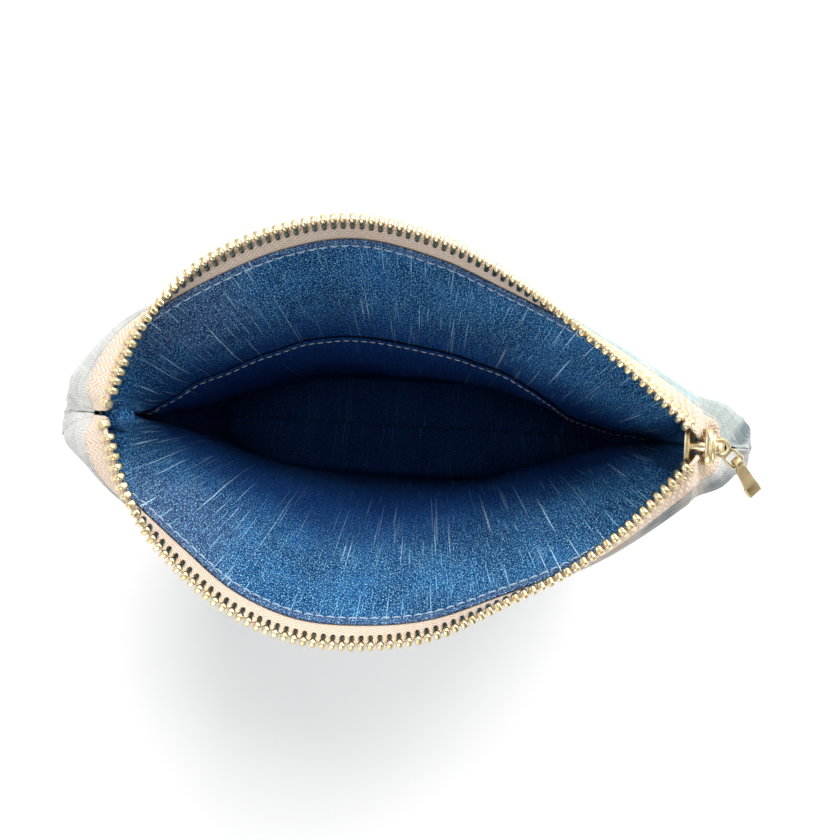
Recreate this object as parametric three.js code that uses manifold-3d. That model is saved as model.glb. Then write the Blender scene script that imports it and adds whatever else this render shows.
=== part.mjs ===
// Lined zippered pouch standing open, millimetres, +Z up, +X towards the slider, +Y the pocket side.
// The origin is on the surface it stands on, under the middle of the pouch. The stations and outlines
// below are measured from the middle of the closed zip; FRAME_SHIFT moves the whole pouch over the origin.
import * as THREE from 'three';
import { mergeVertices } from 'three/addons/utils/BufferGeometryUtils.js';
import Module from 'manifold-3d';

const wasm = await Module();
wasm.setup();

// ---------- driving dimensions ----------
const V = (x, y, z) => new THREE.Vector3(x, y, z);
const FRAME_SHIFT = V(-1.14, 1.47, 0);

// cloth layers, as distances outward from the middle of the zip tape
const LAYERS = {
  outer: [0.6, 1.4],
  fleece: [-0.3, 0.3],
  lining: [-1.2, -0.6],
  pocket: [-2.1, -1.5],
};
const TAPE_HALF = 0.3;
const SEAM_Y = 1.5;
const PANEL_GAP = 0.15;
const HEM_DROP = 1.0;
const TAPE_HIDDEN = 6.0;
const FLEECE_TOP = 8.0;

// wall below the mouth: one waist outline, one base outline, a rounded fold and a flat base
const WAIST_Z = 66;
const FLOOR_Z = LAYERS.outer[1];
const FOLD_RADIUS = 5;

// zip: standard size 5 metal chain
const PITCH = 2.54;
const TOOTH = { along: 1.25, back: 1.0, tip: 2.0, halfThick: 1.4 };
const BEAD_HALF = 0.7;
const TAPE_TO_BEAD = 2.1;
const FIRST_TOOTH = 1.6 * PITCH;

// end stops, crimped on the tapes: one before each row's first tooth, one on both rows behind the slider
const TOP_STOP = { long: 2.2, wide: 2.6, high: 2.4, before: 0.16 };
const BOTTOM_STOP = { long: 1.8, wide: 5.4, high: 2.6, behind: 8.2 };
const STOP_CUT = 0.35;

// slider: centre, lean of its length from vertical, body sizes, and how far along it the tooth rows run
const SLIDER_CENTRE = V(76.3, 0, 134.5);
const SLIDER_LEAN = THREE.MathUtils.degToRad(25);
const PLATE = { inner: 1.8, thick: 0.95, front: 5.25, rear: -5.25, shoulderHalf: 4.65, rearHalf: 3.2 };
const FLANGE = { wide: 0.8, slotHalf: 0.75 };
const POST = { rear: 1.3, front: 4.9, half: 1.25 };
const ROW_ENTERS = 6.8;
const ROW_ENDS = 9.5;
const BAIL = { half: 0.85, barN: 5.3, barHalf: 0.55, reach: 4.2, leg: 1.3 };

// pull: ring and slot link, then a folded tab
const LINK = {
  ringHole: 1.6, ringOuter: 2.3, neckAngle: 0.75, shoulder: 2.7, corner: 0.5,
  thick: 0.9, end: 5.6, half: 2.15, slotFrom: 2.5, slotHalf: 1.5, bar: 0.9,
};
const LINK_YAW = THREE.MathUtils.degToRad(-39);
const TAB_YAW = THREE.MathUtils.degToRad(-45);
const TAB_DROOP = THREE.MathUtils.degToRad(35);
const TAB = {
  length: 13.0, half: 1.6, thick: 1.0, loopHole: 0.8, loopOuter: 1.4,
  neckFrom: 1.1, neckTo: 2.1, neckHalf: 0.95, bladeFrom: 2.6,
  lip: 0.35, lipLong: 3.2, lipRise: 1.0, lipFall: 0.4,
};

// slider axes: A runs from its rear to its shoulder, N out of its outer plate
const A = V(-Math.sin(SLIDER_LEAN), 0, Math.cos(SLIDER_LEAN));
const N = V(Math.cos(SLIDER_LEAN), 0, Math.sin(SLIDER_LEAN));
const onSlider = (a, y, n = 0) =>
  SLIDER_CENTRE.clone().addScaledVector(A, a).addScaledVector(N, n).add(V(0, y, 0));

// mouth stations, left to right: [fabric edge, tooth row], and the beaks beyond the zip's ends
const BACK = {
  side: 1,
  leftSeam: V(-90.5, SEAM_Y, 126),
  stations: [
    [V(-83.5, 4.6, 132), V(-75.0, 3.9, 138.2)],
    [V(-81.0, 12.0, 133.5), V(-72.6, 11.5, 138.6)],
    [V(-75.0, 20.6, 133.6), V(-69.0, 21.0, 138)],
    [V(-66.0, 28.8, 132), V(-63.2, 29.8, 136.6)],
    [V(-52.4, 38.4, 128.8), V(-54.0, 39.6, 133.5)],
    [V(-35.0, 47.4, 125.7), V(-37.0, 49.4, 130.5)],
    [V(-16.0, 51.6, 124.2), V(-16.4, 54.2, 128.6)],
    [V(7.0, 47.4, 124.0), V(7.9, 49.7, 128.5)],
    [V(25.5, 39.8, 125.0), V(26.6, 40.7, 129.8)],
    [V(42.5, 31.6, 127.4), V(43.0, 29.7, 132)],
    [V(57.5, 22.6, 130.4), V(57.6, 18.8, 135)],
    [V(68.4, 15.0, 133.8), V(68.2, 9.2, 138.6)],
    [onSlider(4.5, 10.0, -0.9), onSlider(ROW_ENTERS, 3.5)],
    [onSlider(1.2, 9.2), onSlider(3.0, 2.6)],
    [onSlider(-2.9, 8.4), onSlider(-3.0, 1.65)],
    [V(82.4, 6.2, 128.8), onSlider(-ROW_ENDS, 1.5)],
  ],
  rightSeam: V(92.8, SEAM_Y, 124.5),
  waist: [
    [-89, SEAM_Y], [-74, 6], [-54, 15], [-27, 25], [0, 24.5],
    [30, 19.5], [50, 11.5], [66, 5.5], [80, 2.8], [90, SEAM_Y],
  ],
};
const FRONT = {
  side: -1,
  leftSeam: V(-90.5, -SEAM_Y, 126),
  stations: [
    [V(-83.5, -4.8, 132), V(-75.2, -3.9, 138.6)],
    [V(-81.0, -12.0, 133.6), V(-72.8, -11.0, 139)],
    [V(-75.2, -18.6, 133.8), V(-70.2, -18.6, 138.4)],
    [V(-67.0, -25.4, 132.6), V(-65.4, -26.6, 137.2)],
    [V(-57.5, -34.4, 130), V(-58.0, -36.0, 134.6)],
    [V(-43.5, -46.2, 127), V(-44.6, -47.8, 131.7)],
    [V(-26.5, -53.4, 124.8), V(-27.2, -55.6, 129.3)],
    [V(-8.0, -54.4, 124), V(-8.0, -57.0, 128.4)],
    [V(10.0, -51.8, 124.1), V(10.8, -53.3, 128.6)],
    [V(28.0, -44.4, 125.1), V(28.3, -44.2, 129.7)],
    [V(44.0, -36.6, 127.3), V(44.6, -34.6, 132)],
    [V(57.0, -27.6, 130.2), V(57.2, -23.8, 134.8)],
    [V(68.6, -16.8, 133.8), V(67.8, -11.0, 138.6)],
    [onSlider(4.5, -10.8, -0.9), onSlider(ROW_ENTERS, -3.5)],
    [onSlider(1.2, -9.8), onSlider(3.0, -2.6)],
    [onSlider(-2.9, -9.0), onSlider(-3.0, -1.65)],
    [V(82.6, -6.0, 128.8), onSlider(-ROW_ENDS, -1.5)],
  ],
  rightSeam: V(92.8, -SEAM_Y, 124.5),
  waist: [
    [-89, -SEAM_Y], [-72, -8.5], [-45, -21], [-12, -27.5],
    [25, -22], [50, -11.5], [68, -5], [80, -2.8], [90, -SEAM_Y],
  ],
};
const BASE = [
  [-76, SEAM_Y], [-74.5, 7], [-69, 13], [-56, 18], [0, 21.5],
  [56, 18], [69, 13], [74.5, 7], [76, SEAM_Y],
];

// ---------- curves and surfaces ----------
const spline = (points) => new THREE.CatmullRomCurve3(points, false, 'centripetal');

// the wall of one side: columns follow the mouth stations, rows run from the mouth to the bottom seam
function wallOf(half) {
  const edges = half.stations.map((s) => s[0]);
  const mouth = spline([half.leftSeam, ...edges, half.rightSeam]);
  const waist = spline(half.waist.map(([x, y]) => V(x, y, WAIST_Z)));
  const base = spline(BASE.map(([x, y]) => V(x, y * half.side, FLOOR_Z + FOLD_RADIUS)));
  const lengths = mouth.getLengths(400);
  const total = lengths[400];
  const shareAt = (t) => lengths[Math.round(t * 400)] / total;
  const seamY = PANEL_GAP * half.side;

  // toward the bottom seam: x shrinks by kx, y by ky
  const tuck = (p, kx, ky, z) => V(p.x * kx, seamY + (p.y - seamY) * ky, z);
  const column = (t) => {
    const share = shareAt(t);
    const rim = mouth.getPoint(t);
    const low = base.getPointAt(share);
    const fall = spline([rim, waist.getPointAt(share), low]);
    return {
      fall,
      drop: fall.getLength(),
      foot: [
        tuck(low, 0.988, 0.94, FLOOR_Z + FOLD_RADIUS * 0.3),
        tuck(low, 0.96, 0.8, FLOOR_Z),
        tuck(low, 0.95, 0.7, FLOOR_Z),
        tuck(low, 0.92, 0.0, FLOOR_Z),
      ],
    };
  };
  return { column, side: half.side, count: edges.length + 1 };
}

const COLUMNS_PER_STATION = 2;
const WALL_SHARES = [0.19, 0.35, 0.5, 0.66, 0.83, 1.0];
const FLEECE_ROW = 1;
const POCKET_ROWS = [3, 7];

function columnTimes(wall, first, last) {
  const times = [];
  for (let k = first * COLUMNS_PER_STATION; k <= last * COLUMNS_PER_STATION; k += 1) {
    times.push(k / (wall.count * COLUMNS_PER_STATION));
  }
  return times;
}

// points of a wall: the hem, the top of the fleece, the rows down the wall and those of the foot
function wallGrid(wall, times) {
  return times.map((t) => {
    const c = wall.column(t);
    const shares = [HEM_DROP / c.drop, FLEECE_TOP / c.drop, ...WALL_SHARES];
    return shares.map((share) => c.fall.getPointAt(share)).concat(c.foot);
  });
}

// unit normals of a grid of points, pointing out of the pouch
function gridNormals(grid, side) {
  const last = grid.length - 1;
  const bottom = grid[0].length - 1;
  return grid.map((col, i) => col.map((p, j) => {
    const du = grid[Math.min(i + 1, last)][j].clone().sub(grid[Math.max(i - 1, 0)][j]);
    const dv = grid[i][Math.min(j + 1, bottom)].clone().sub(grid[i][Math.max(j - 1, 0)]);
    return du.cross(dv).normalize().multiplyScalar(side);
  }));
}

function offsetGrid(grid, normals, distance) {
  return grid.map((col, i) => col.map((p, j) => p.clone().addScaledVector(normals[i][j], distance)));
}

function signedVolume(positions, index) {
  const a = V(0, 0, 0);
  const b = V(0, 0, 0);
  const c = V(0, 0, 0);
  let sum = 0;
  for (let k = 0; k < index.length; k += 3) {
    a.fromArray(positions, index[k] * 3);
    b.fromArray(positions, index[k + 1] * 3);
    c.fromArray(positions, index[k + 2] * 3);
    sum += a.dot(b.cross(c));
  }
  return sum;
}

function closedGeometry(positions, index) {
  const facing = signedVolume(positions, index) > 0 ? index : index.slice().reverse();
  const geometry = new THREE.BufferGeometry();
  geometry.setAttribute('position', new THREE.Float32BufferAttribute(positions, 3));
  geometry.setIndex(facing);
  geometry.computeVertexNormals();
  return geometry;
}

// closed sheet between two grids of the same size
function sheetBetween(near, far) {
  const rows = near[0].length;
  const columns = near.length;
  const positions = [];
  for (const grid of [near, far]) {
    for (const col of grid) {
      for (const p of col) positions.push(p.x, p.y, p.z);
    }
  }
  const at = (layer, i, j) => layer * columns * rows + i * rows + j;
  const index = [];
  const quad = (a, b, c, d) => index.push(a, b, c, a, c, d);
  for (let i = 0; i < columns - 1; i += 1) {
    for (let j = 0; j < rows - 1; j += 1) {
      quad(at(0, i, j), at(0, i + 1, j), at(0, i + 1, j + 1), at(0, i, j + 1));
      quad(at(1, i, j), at(1, i, j + 1), at(1, i + 1, j + 1), at(1, i + 1, j));
    }
    quad(at(0, i, 0), at(1, i, 0), at(1, i + 1, 0), at(0, i + 1, 0));
    quad(at(0, i, rows - 1), at(0, i + 1, rows - 1), at(1, i + 1, rows - 1), at(1, i, rows - 1));
  }
  for (let j = 0; j < rows - 1; j += 1) {
    quad(at(0, 0, j), at(0, 0, j + 1), at(1, 0, j + 1), at(1, 0, j));
    quad(at(0, columns - 1, j), at(1, columns - 1, j), at(1, columns - 1, j + 1), at(0, columns - 1, j + 1));
  }
  return closedGeometry(positions, index);
}

function clothSheet(grid, side, [inner, outer]) {
  const normals = gridNormals(grid, side);
  return sheetBetween(offsetGrid(grid, normals, inner), offsetGrid(grid, normals, outer));
}

// a layer of the wall between two columns and two rows of its grid
function wallLayer(grid, normals, [inner, outer], columns, rows) {
  const part = (layer) => layer.slice(...columns).map((col) => col.slice(...rows));
  return sheetBetween(part(offsetGrid(grid, normals, inner)), part(offsetGrid(grid, normals, outer)));
}

// the outer cloth also turns in at both side seams, to meet the other panel
function outerPanel(wall, grid, normals) {
  const [inner, outer] = LAYERS.outer;
  const near = offsetGrid(grid, normals, inner);
  const far = offsetGrid(grid, normals, outer);
  const turnIn = (col, reach) => col.map((p) => {
    const out = Math.sign(p.x) * reach;
    return V(p.x + out, PANEL_GAP * wall.side, p.z);
  });
  const left = grid[0];
  const right = grid[grid.length - 1];
  near.unshift(turnIn(left, inner));
  far.unshift(turnIn(left, outer));
  near.push(turnIn(right, inner));
  far.push(turnIn(right, outer));
  return sheetBetween(near, far);
}

// ---------- zip tape and tooth rows ----------
function tapeSheet(half, wall) {
  const rows = spline([half.leftSeam, ...half.stations.map((s) => s[1]), half.rightSeam]);
  const times = columnTimes(wall, 1, wall.count - 1);
  const grid = times.map((t) => {
    const c = wall.column(t);
    const edge = c.fall.getPointAt(0);
    const row = rows.getPoint(t);
    const inward = edge.clone().sub(row).normalize();
    const free = row.clone().addScaledVector(inward, TAPE_TO_BEAD);
    return [
      c.fall.getPointAt(TAPE_HIDDEN / c.drop),
      c.fall.getPointAt(HEM_DROP / c.drop),
      edge,
      edge.clone().lerp(free, 0.5),
      free,
    ].reverse();
  });
  return clothSheet(grid, wall.side, [-TAPE_HALF, TAPE_HALF]);
}

// one tooth row on its bead: a square bead that swells at every tooth
function toothRow(half) {
  const row = spline(half.stations.map((s) => s[1]));
  const edge = spline(half.stations.map((s) => s[0]));
  const length = row.getLength();
  const through = ROW_ENTERS + ROW_ENDS;
  const toothed = Math.floor((length - through - PITCH) / PITCH);
  const sections = [];
  const section = (s, back, tip, thick) => {
    const u = s / length;
    const t = row.getUtoTmapping(u);
    const centre = row.getPoint(t);
    const along = row.getTangent(t);
    const toTape = edge.getPoint(t).sub(centre);
    toTape.addScaledVector(along, -toTape.dot(along)).normalize();
    const face = along.clone().cross(toTape);
    const corner = (w, n) => centre.clone().addScaledVector(toTape, w).addScaledVector(face, n);
    sections.push([
      corner(back, -thick), corner(back, thick), corner(-tip, thick), corner(-tip, -thick),
    ]);
  };
  section(0.2, BEAD_HALF, BEAD_HALF, BEAD_HALF);
  for (let k = 0; k < toothed; k += 1) {
    const middle = FIRST_TOOTH + PITCH * k;
    section(middle - TOOTH.along / 2, TOOTH.back, TOOTH.tip, TOOTH.halfThick);
    section(middle + TOOTH.along / 2, TOOTH.back, TOOTH.tip, TOOTH.halfThick);
    section(middle + PITCH / 2, BEAD_HALF, BEAD_HALF, BEAD_HALF);
  }
  for (const share of [0.3, 0.6, 0.82]) {
    section(length - through * (1 - share), BEAD_HALF, BEAD_HALF, BEAD_HALF);
  }
  return sweep(sections);
}

// closed solid through a list of rings of the same number of corners
function sweep(rings) {
  const n = rings[0].length;
  const positions = rings.flat().flatMap((p) => [p.x, p.y, p.z]);
  const index = [];
  for (let r = 0; r < rings.length - 1; r += 1) {
    for (let k = 0; k < n; k += 1) {
      const a = r * n + k;
      const b = r * n + ((k + 1) % n);
      index.push(a, b, b + n, a, b + n, a + n);
    }
  }
  const end = (rings.length - 1) * n;
  for (let k = 1; k < n - 1; k += 1) {
    index.push(0, k + 1, k);
    index.push(end, end + k, end + k + 1);
  }
  return closedGeometry(positions, index);
}

// ---------- solids that are joined or cut ----------
function toManifold(geometry) {
  const bare = geometry.clone();
  bare.deleteAttribute('normal');
  bare.deleteAttribute('uv');
  const merged = mergeVertices(bare, 1e-4);
  return new wasm.Manifold(new wasm.Mesh({
    numProp: 3,
    vertProperties: new Float32Array(merged.attributes.position.array),
    triVerts: new Uint32Array(merged.index.array),
  }));
}

function fromManifold(solid) {
  const mesh = solid.getMesh();
  const geometry = new THREE.BufferGeometry();
  geometry.setAttribute('position', new THREE.BufferAttribute(mesh.vertProperties, 3));
  geometry.setIndex(new THREE.BufferAttribute(mesh.triVerts, 1));
  geometry.computeVertexNormals();
  return geometry;
}

function outline(points) {
  const shape = new THREE.Shape();
  points.forEach(([x, y], k) => (k === 0 ? shape.moveTo(x, y) : shape.lineTo(x, y)));
  shape.closePath();
  return shape;
}

function extruded(shape, depth, curveSegments = 10) {
  return new THREE.ExtrudeGeometry(shape, { depth, bevelEnabled: false, curveSegments });
}

// slider frame: x runs along A, y stays Y, z runs along N; right-handed with y turned over
function placeOnSlider(geometry) {
  const across = N.clone().cross(A);
  const matrix = new THREE.Matrix4().makeBasis(A, across, N).setPosition(SLIDER_CENTRE);
  return geometry.applyMatrix4(matrix);
}

function plateOutline() {
  const { front, rear, shoulderHalf, rearHalf } = PLATE;
  const half = [
    [rear, rearHalf],
    [rear + 3.5, rearHalf + 0.1],
    [front - 3.2, shoulderHalf],
    [front - 1.0, shoulderHalf - 0.3],
  ];
  const other = half.map(([x, y]) => [x, -y]).reverse();
  return outline([...half, [front, shoulderHalf - 1.7], [front, 1.7 - shoulderHalf], ...other]);
}

function sliderBody() {
  const { inner, thick, front, rear, shoulderHalf, rearHalf } = PLATE;
  const plate = (z) => toManifold(extruded(plateOutline(), thick).translate(0, 0, z));
  let body = plate(inner).add(plate(-inner - thick));
  const flange = (sign) => outline([
    [rear, sign * rearHalf],
    [rear + 3.5, sign * (rearHalf + 0.1)],
    [front - 3.2, sign * shoulderHalf],
    [front - 3.2, sign * (shoulderHalf - FLANGE.wide)],
    [rear + 3.5, sign * (rearHalf + 0.1 - FLANGE.wide)],
    [rear, sign * (rearHalf - FLANGE.wide)],
  ]);
  const deep = inner - FLANGE.slotHalf + thick / 2;
  for (const sign of [-1, 1]) {
    const rail = extruded(flange(sign), deep);
    body = body.add(toManifold(rail.clone().translate(0, 0, FLANGE.slotHalf)));
    body = body.add(toManifold(rail.clone().translate(0, 0, -FLANGE.slotHalf - deep)));
  }
  const post = outline([
    [POST.rear, 0], [POST.front - 1.2, POST.half], [POST.front, 0.5],
    [POST.front, -0.5], [POST.front - 1.2, -POST.half],
  ]);
  const postDepth = 2 * inner + thick;
  body = body.add(toManifold(extruded(post, postDepth).translate(0, 0, -postDepth / 2)));
  return body.add(bail());
}

// arch over the outer plate: its bar runs along the slider, the link's ring goes round it
function bail() {
  const foot = PLATE.inner + PLATE.thick / 2;
  const top = BAIL.barN + BAIL.barHalf;
  const under = BAIL.barN - BAIL.barHalf;
  const { reach, leg } = BAIL;
  const arch = outline([
    [-reach, foot], [-reach, under], [-reach + 0.9, top],
    [reach - 1.4, top], [reach, under - 0.6], [reach, foot],
    [reach - leg, foot], [reach - leg, under - 0.8], [reach - leg - 0.6, under],
    [leg - reach + 0.2, under], [leg - reach, under - 0.3], [leg - reach, foot],
  ]);
  const flat = extruded(arch, 2 * BAIL.half).translate(0, 0, -BAIL.half);
  flat.applyMatrix4(new THREE.Matrix4().makeBasis(V(1, 0, 0), V(0, 0, 1), V(0, -1, 0)));
  return toManifold(flat);
}

// link: a ring, widening into a frame with a rectangular slot; lies level in its own X direction
function pullLink() {
  const shape = new THREE.Shape();
  const { ringOuter, neckAngle, shoulder, corner, end, half, bar, slotFrom, slotHalf } = LINK;
  const reach = end + bar / 2;
  shape.absarc(0, 0, ringOuter, neckAngle, 2 * Math.PI - neckAngle, false);
  shape.lineTo(shoulder, -half);
  shape.lineTo(reach - corner, -half);
  shape.lineTo(reach, -half + corner);
  shape.lineTo(reach, half - corner);
  shape.lineTo(reach - corner, half);
  shape.lineTo(shoulder, half);
  shape.closePath();
  const hole = new THREE.Path().absarc(0, 0, LINK.ringHole, 0, 2 * Math.PI, true);
  shape.holes.push(hole);
  const slotTo = end - bar / 2;
  shape.holes.push(outline([
    [slotFrom, -slotHalf], [slotFrom, slotHalf], [slotTo, slotHalf], [slotTo, -slotHalf],
  ]));
  const flat = extruded(shape, LINK.thick, 16).translate(0, 0, -LINK.thick / 2);
  return flat.rotateZ(LINK_YAW);
}

// tab: folded loop round the link's end bar, a flat bar and a thicker lip at the tip; X is its length
function pullTab() {
  const ring = new THREE.Shape().absarc(0, 0, TAB.loopOuter, 0, 2 * Math.PI, false);
  ring.holes.push(new THREE.Path().absarc(0, 0, TAB.loopHole, 0, 2 * Math.PI, true));
  const loop = extruded(ring, 2 * TAB.neckHalf, 12).translate(0, 0, -TAB.neckHalf).rotateX(Math.PI / 2);
  const bar = outline([
    [TAB.neckFrom, -TAB.neckHalf], [TAB.neckTo, -TAB.neckHalf],
    [TAB.bladeFrom, -TAB.half], [TAB.length, -TAB.half],
    [TAB.length, TAB.half], [TAB.bladeFrom, TAB.half],
    [TAB.neckTo, TAB.neckHalf], [TAB.neckFrom, TAB.neckHalf],
  ]);
  const flat = extruded(bar, TAB.thick).translate(0, 0, -TAB.thick / 2);
  const lipHalf = TAB.thick / 2 + TAB.lip;
  const lipFrom = TAB.length - TAB.lipLong;
  const lipTo = TAB.length - TAB.lipFall;
  const lip = outline([
    [lipFrom, TAB.thick / 2 - 0.05], [lipFrom + TAB.lipRise, lipHalf], [lipTo, lipHalf],
    [TAB.length, TAB.thick / 2], [TAB.length, -TAB.thick / 2],
    [lipTo, -lipHalf], [lipFrom + TAB.lipRise, -lipHalf], [lipFrom, 0.05 - TAB.thick / 2],
  ]);
  const thick = extruded(lip, 2 * TAB.half).translate(0, 0, -TAB.half).rotateX(Math.PI / 2);
  return fromManifold(toManifold(loop).add(toManifold(flat)).add(toManifold(thick)));
}

// small metal block with cut corners that clamps the bead at an end of the chain
function stopBlock({ long, wide, high }) {
  const x = long / 2;
  const y = wide / 2;
  const shape = outline([
    [-x, STOP_CUT - y], [STOP_CUT - x, -y], [x - STOP_CUT, -y], [x, STOP_CUT - y],
    [x, y - STOP_CUT], [x - STOP_CUT, y], [STOP_CUT - x, y], [-x, y - STOP_CUT],
  ]);
  return extruded(shape, high).translate(0, 0, -high / 2);
}

// ---------- materials ----------
const finish = (color, roughness, metalness) => new THREE.MeshStandardMaterial({ color, roughness, metalness });
const paleLinen = () => finish(0xd9dad6, 0.9, 0);
const whiteFleece = () => finish(0xf0efea, 1, 0);
const navyCotton = () => finish(0x1c3a66, 0.85, 0);
const beigeTape = () => finish(0xdcc0a0, 0.8, 0);
const paleGold = () => finish(0xd8c08a, 0.3, 1);

// ---------- assembly ----------
const pouch = new THREE.Group();
pouch.position.copy(FRAME_SHIFT);

function add(name, geometry, material, parent = pouch) {
  const mesh = new THREE.Mesh(geometry, material);
  mesh.name = name;
  parent.add(mesh);
  return mesh;
}

// a top stop lies on the line through the row's first two stations, a little before the first
function addTopStop(name, half) {
  const row = half.stations[0][1];
  const next = half.stations[1][1];
  const stop = add(name, stopBlock(TOP_STOP), paleGold());
  stop.position.copy(row.clone().lerp(next, -TOP_STOP.before));
  stop.quaternion.setFromUnitVectors(V(1, 0, 0), next.clone().sub(row).normalize());
}

for (const [name, half] of [['back', BACK], ['front', FRONT]]) {
  const wall = wallOf(half);
  const grid = wallGrid(wall, columnTimes(wall, 0, wall.count));
  const normals = gridNormals(grid, wall.side);
  add(`outer_${name}_panel`, outerPanel(wall, grid, normals), paleLinen());
  add(`fleece_${name}`, wallLayer(grid, normals, LAYERS.fleece, [1, -1], [FLEECE_ROW]), whiteFleece());
  add(`lining_${name}_panel`, wallLayer(grid, normals, LAYERS.lining, [0], [0]), navyCotton());
  if (half === BACK) {
    add('slip_pocket', wallLayer(grid, normals, LAYERS.pocket, [3, -3], POCKET_ROWS), navyCotton());
  }
  add(`zip_tape_${name}`, tapeSheet(half, wall), beigeTape());
  add(`zip_teeth_${name}`, toothRow(half), paleGold());
  addTopStop(`top_stop_${name}`, half);
}

const bottomStop = add('bottom_stop', stopBlock(BOTTOM_STOP), paleGold());
placeOnSlider(bottomStop.geometry.translate(-BOTTOM_STOP.behind, 0, 0));

add('slider_body', placeOnSlider(fromManifold(sliderBody())), paleGold());

const linkPivot = onSlider(0.3, 0, BAIL.barN);
const link = add('pull_link', pullLink(), paleGold());
link.position.copy(linkPivot);

const tabPivot = linkPivot.clone().add(V(LINK.end, 0, 0).applyAxisAngle(V(0, 0, 1), LINK_YAW));
const tab = add('pull_tab', pullTab(), paleGold());
tab.rotation.order = 'ZYX';
tab.rotation.set(0, TAB_DROOP, TAB_YAW);
tab.position.copy(tabPivot);

export default pouch;
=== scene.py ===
import math
from types import SimpleNamespace

import bmesh
import bpy
import numpy as np
from mathutils import Matrix, Vector, noise


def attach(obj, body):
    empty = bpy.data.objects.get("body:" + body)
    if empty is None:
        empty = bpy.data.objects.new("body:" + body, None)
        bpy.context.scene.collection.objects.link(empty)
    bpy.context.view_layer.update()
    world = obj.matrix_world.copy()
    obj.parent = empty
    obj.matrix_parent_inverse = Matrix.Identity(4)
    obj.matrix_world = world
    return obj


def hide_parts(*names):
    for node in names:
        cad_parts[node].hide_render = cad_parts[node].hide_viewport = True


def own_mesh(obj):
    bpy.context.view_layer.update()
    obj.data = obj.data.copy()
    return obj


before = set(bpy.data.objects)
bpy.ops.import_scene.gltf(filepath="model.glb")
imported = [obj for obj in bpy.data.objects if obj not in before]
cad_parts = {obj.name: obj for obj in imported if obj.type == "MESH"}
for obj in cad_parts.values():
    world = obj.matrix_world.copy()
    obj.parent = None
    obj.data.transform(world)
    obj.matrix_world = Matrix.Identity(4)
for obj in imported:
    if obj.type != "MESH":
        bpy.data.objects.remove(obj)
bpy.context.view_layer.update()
scene = bpy.context.scene
MM = 0.001

# Stage and camera. The pouch stands on a pale sheet and is seen from straight above,
# a little off its middle and turned a few degrees, as when it is held under a window.
CAMERA_AT = Vector((2.96, 4.27, 351.0)) * MM
CAMERA_TURN = math.radians(3.2)
SENSOR = 36.0
FOCAL = 36.04
FLOOR_SIZE = 6.0
SIDE_GLOW = 0.55
OVERHEAD_GLOW = 0.11
POUCH_MIDDLE = (0, 0, 0.1)
WINDOW_COLOR = (1.0, 0.99, 0.97)
ROOM_COLOR = (0.95, 0.97, 1.0, 1)
FLOOR_COLOR = (0.86, 0.86, 0.86, 1)

camera_data = bpy.data.cameras.new("camera")
camera_data.sensor_width = SENSOR
camera_data.lens = FOCAL
camera = bpy.data.objects.new("camera", camera_data)
camera.location = CAMERA_AT
camera.rotation_euler = (0, 0, CAMERA_TURN)
scene.collection.objects.link(camera)
scene.camera = camera
scene.view_settings.view_transform = "Standard"
scene.view_settings.look = "Medium High Contrast"


def add_node(tree, kind, values=None, **settings):
    """One shader node, with values for its input sockets by name or place."""
    made = tree.nodes.new(kind)
    for key, value in settings.items():
        setattr(made, key, value)
    for key, value in (values or {}).items():
        if isinstance(value, bpy.types.NodeSocket):
            tree.links.new(value, made.inputs[key])
        else:
            made.inputs[key].default_value = value
    return made


def new_material(name):
    """A material with an empty Principled BSDF; returns it, its tree and the shader."""
    material = bpy.data.materials.new(name)
    material.use_nodes = True
    return material, material.node_tree, material.node_tree.nodes["Principled BSDF"]


floor_material, tree, shader = new_material("floor_paper")
shader.inputs["Base Color"].default_value = FLOOR_COLOR
shader.inputs["Roughness"].default_value = 0.9
bpy.ops.mesh.primitive_plane_add(size=FLOOR_SIZE)
floor = bpy.context.object
floor.name = "floor"
floor.data.materials.append(floor_material)

# the room is dimmer straight overhead than at its sides
world = bpy.data.worlds.new("studio")
world.use_nodes = True
tree = world.node_tree
direction = add_node(tree, "ShaderNodeTexCoord").outputs["Generated"]
height = add_node(tree, "ShaderNodeSeparateXYZ", {0: direction}).outputs["Z"]
dimmer = add_node(tree, "ShaderNodeMapRange", {
    0: height, 1: 0.15, 2: 0.7, 3: SIDE_GLOW, 4: OVERHEAD_GLOW,
})
tree.nodes["Background"].inputs["Color"].default_value = ROOM_COLOR
tree.links.new(dimmer.outputs[0], tree.nodes["Background"].inputs["Strength"])
scene.world = world


def area_light(name, place, aim, size, power, color=(1, 1, 1)):
    """A soft square light in metres and watts, facing `aim`."""
    data = bpy.data.lights.new(name, "AREA")
    data.size = size
    data.energy = power
    data.color = color
    light = bpy.data.objects.new(name, data)
    light.location = place
    light.rotation_euler = (Vector(aim) - Vector(place)).to_track_quat("-Z", "Y").to_euler()
    scene.collection.objects.link(light)


area_light("window", (0.75, 3.1, 2.8), POUCH_MIDDLE, 3.2, 186, WINDOW_COLOR)
area_light("fill", (-1.0, -2.8, 2.4), POUCH_MIDDLE, 2.8, 52)
area_light("low_left", (-3.2, 0.6, 2.0), POUCH_MIDDLE, 2.7, 30)
area_light("low_right", (3.2, 0.9, 1.8), POUCH_MIDDLE, 2.5, 40)
area_light("overhead", (0, 0.05, 1.6), (0, 0, 0), 0.5, 2.3)


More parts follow.
